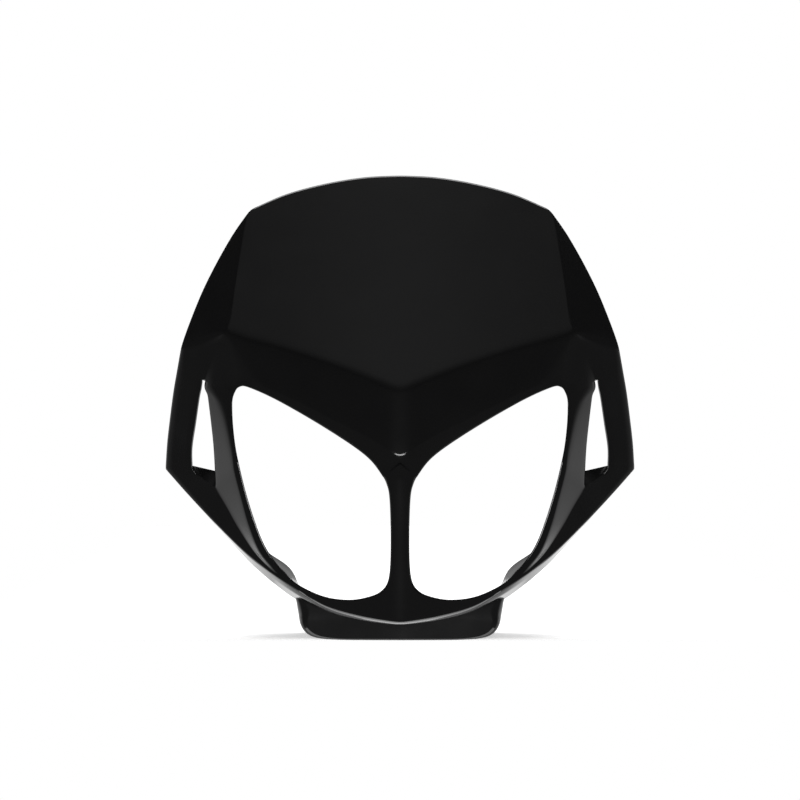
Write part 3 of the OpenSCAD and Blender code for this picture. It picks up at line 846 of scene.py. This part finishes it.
def floor_material(f):
    """White floor that keeps a faint shadow: some of its white is its own, the rest is lit."""
    mat = bpy.data.materials.new("pale_floor")
    mat.use_nodes = True
    nt = mat.node_tree
    nt.nodes.clear()
    out = nt.nodes.new("ShaderNodeOutputMaterial")
    lit = nt.nodes.new("ShaderNodeBsdfDiffuse")
    lit.inputs["Color"].default_value = (*f.floor, 1)
    own = nt.nodes.new("ShaderNodeEmission")
    own.inputs["Color"].default_value = (1, 1, 1, 1)
    nt.links.new(combined(nt, "MULTIPLY", any_shown(nt), f.floor_own), own.inputs["Strength"])
    add = nt.nodes.new("ShaderNodeAddShader")
    nt.links.new(lit.outputs["BSDF"], add.inputs[0])
    nt.links.new(own.outputs["Emission"], add.inputs[1])
    # The floor runs out softly in front and to the sides
    coord = nt.nodes.new("ShaderNodeTexCoord")
    axes = nt.nodes.new("ShaderNodeSeparateXYZ")
    nt.links.new(coord.outputs["Object"], axes.inputs[0])
    aside = combined(nt, "ABSOLUTE", axes.outputs["X"], 0)
    there = combined(nt, "MULTIPLY", ramp(nt, axes.outputs["Y"], -0.012, 0.015),
                     ramp(nt, aside, 0.3, 0.16))
    clear = nt.nodes.new("ShaderNodeBsdfTransparent")
    mix = nt.nodes.new("ShaderNodeMixShader")
    nt.links.new(there, mix.inputs["Fac"])
    nt.links.new(clear.outputs["BSDF"], mix.inputs[1])
    nt.links.new(add.outputs["Shader"], mix.inputs[2])
    nt.links.new(mix.outputs["Shader"], out.inputs["Surface"])
    return mat


# Brightness of the room in reflections: high up, lower down, below, and straight in front,
# and the share that is left of the backdrop far behind and of the overhead light to the sides.
ROOM_HIGH, ROOM_LOW, ROOM_BELOW, ROOM_FRONT = 0.015, 0.05, 0.035, 0.05
FAR_SHARE, ASIDE_SHARE = 0.4, 0.6


def studio_world(f):
    """White backdrop all round for the camera; the part mirrors it to the sides and behind,
    and mirrors the dim room in front, with a soft light overhead. Light on the part is even."""
    world = bpy.data.worlds.new("studio")
    world.use_nodes = True
    nt = world.node_tree
    nt.nodes.clear()
    out = nt.nodes.new("ShaderNodeOutputWorld")
    path = nt.nodes.new("ShaderNodeLightPath")
    coord = nt.nodes.new("ShaderNodeTexCoord")
    axes = nt.nodes.new("ShaderNodeSeparateXYZ")
    nt.links.new(coord.outputs["Generated"], axes.inputs[0])
    y, z = axes.outputs["Y"], axes.outputs["Z"]
    aside = combined(nt, "ABSOLUTE", axes.outputs["X"], 0)

    # Backdrop: from the sides to behind, low down, and weaker straight behind
    behind = combined(nt, "MULTIPLY", ramp(nt, y, -0.25, 0.12),
                      ramp(nt, z, 0.2, -0.05, 0, f.backdrop))
    behind = combined(nt, "MULTIPLY", behind, ramp(nt, y, 0.5, 0.95, 1, FAR_SHARE))
    # Overhead light: high up and toward the front
    above = combined(nt, "MULTIPLY", ramp(nt, z, 0.55, 0.92), ramp(nt, y, 0.1, -0.3))
    above = combined(nt, "MULTIPLY", above,
                     ramp(nt, aside, 0, 0.16, f.overhead, f.overhead * ASIDE_SHARE))
    # The dim room, with a little more below and straight in front
    low = combined(nt, "ADD", ramp(nt, z, 0.62, 0.25, ROOM_HIGH, ROOM_LOW),
                   ramp(nt, z, 0.2, -0.1, 0, ROOM_BELOW))
    middle = combined(nt, "MULTIPLY", ramp(nt, aside, 0.5, 0.0, 0, ROOM_FRONT),
                      ramp(nt, y, -0.7, -0.95))
    room = combined(nt, "ADD", combined(nt, "ADD", low, middle), above)
    seen = combined(nt, "MAXIMUM", room, behind)
    seen = combined(nt, "MAXIMUM", seen, path.outputs["Is Camera Ray"])

    shown = nt.nodes.new("ShaderNodeBackground")
    nt.links.new(seen, shown.inputs["Strength"])
    even = nt.nodes.new("ShaderNodeBackground")
    even.inputs["Strength"].default_value = f.even_light
    for node in (shown, even):
        node.inputs["Color"].default_value = (1, 1, 1, 1)
    mix = nt.nodes.new("ShaderNodeMixShader")
    nt.links.new(any_shown(nt), mix.inputs["Fac"])
    nt.links.new(even.outputs["Background"], mix.inputs[1])
    nt.links.new(shown.outputs["Background"], mix.inputs[2])
    nt.links.new(mix.outputs["Shader"], out.inputs["Surface"])
    return world


# Floor: half its width, and its near and far edges, in metres
FLOOR_SIDE, FLOOR_NEAR, FLOOR_FAR = 0.32, -0.015, 1.4
# Camera: level, DISTANCE in front of the beak, where the picture is FIELD wide
CAMERA_Z, DISTANCE, BEAK_Y = 0.1487, 1.5, 0.055
SENSOR, FIELD = 36, 0.48


class COWL_OT_stage(bpy.types.Operator):
    """Build the floor, the white background, the lights and the camera"""
    bl_idname = "cowl.stage"
    bl_label = "Studio"

    def execute(self, context):
        scene = context.scene
        f = scene.cowl_finish
        scene.view_settings.view_transform = "Standard"
        mesh = bpy.data.meshes.new("studio_floor")
        corners = [(-FLOOR_SIDE, FLOOR_NEAR, 0), (FLOOR_SIDE, FLOOR_NEAR, 0),
                   (FLOOR_SIDE, FLOOR_FAR, 0), (-FLOOR_SIDE, FLOOR_FAR, 0)]
        mesh.from_pydata(corners, [], [(0, 1, 2, 3)])
        floor = bpy.data.objects.new("studio_floor", mesh)
        scene.collection.objects.link(floor)
        mesh.materials.append(floor_material(f))
        scene.world = studio_world(f)
        area("top_soft", (0, 0.35, 1.5), (0, 0.02, 0.1), (1.0, 0.7), 12)
        area("under_chin", (0, -0.027, -0.012), (0, -0.027, 0.1), (0.18, 0.034), 0.05)
        area("front_soft", (0, -1.75, 0.18), (0, -0.05, 0.115), (0.8, 0.22), 7)
        # Camera at the photograph's angle
        cam_data = bpy.data.cameras.new("camera")
        cam_data.sensor_width = SENSOR
        cam_data.lens = SENSOR * DISTANCE / FIELD
        cam = bpy.data.objects.new("camera", cam_data)
        cam.location = (0, -DISTANCE - BEAK_Y, CAMERA_Z)
        cam.rotation_euler = (math.radians(90), 0, 0)
        scene.collection.objects.link(cam)
        scene.camera = cam
        return {"FINISHED"}


class COWL_PT_panel(bpy.types.Panel):
    """Cowl tools in the sidebar"""
    bl_label = "Headlight cowl"
    bl_idname = "COWL_PT_panel"
    bl_space_type = "VIEW_3D"
    bl_region_type = "UI"
    bl_category = "Cowl"

    def draw(self, context):
        col = self.layout.column()
        for name in CowlSizes.__annotations__:
            col.prop(context.scene.cowl_sizes, name)
        for name in CowlFinish.__annotations__:
            col.prop(context.scene.cowl_finish, name)
        col.operator(COWL_OT_shell.bl_idname)
        col.operator(COWL_OT_stage.bl_idname)


CLASSES = (CowlSizes, CowlFinish, COWL_OT_shell, COWL_OT_stage, COWL_PT_panel)


def register():
    for c in CLASSES:
        bpy.utils.register_class(c)
    bpy.types.Scene.cowl_sizes = bpy.props.PointerProperty(type=CowlSizes)
    bpy.types.Scene.cowl_finish = bpy.props.PointerProperty(type=CowlFinish)


def unregister():
    del bpy.types.Scene.cowl_finish
    del bpy.types.Scene.cowl_sizes
    for c in reversed(CLASSES):
        bpy.utils.unregister_class(c)


def main():
    register()
    bpy.ops.cowl.stage()
    bpy.ops.cowl.shell()


if __name__ == "__main__":
    main()
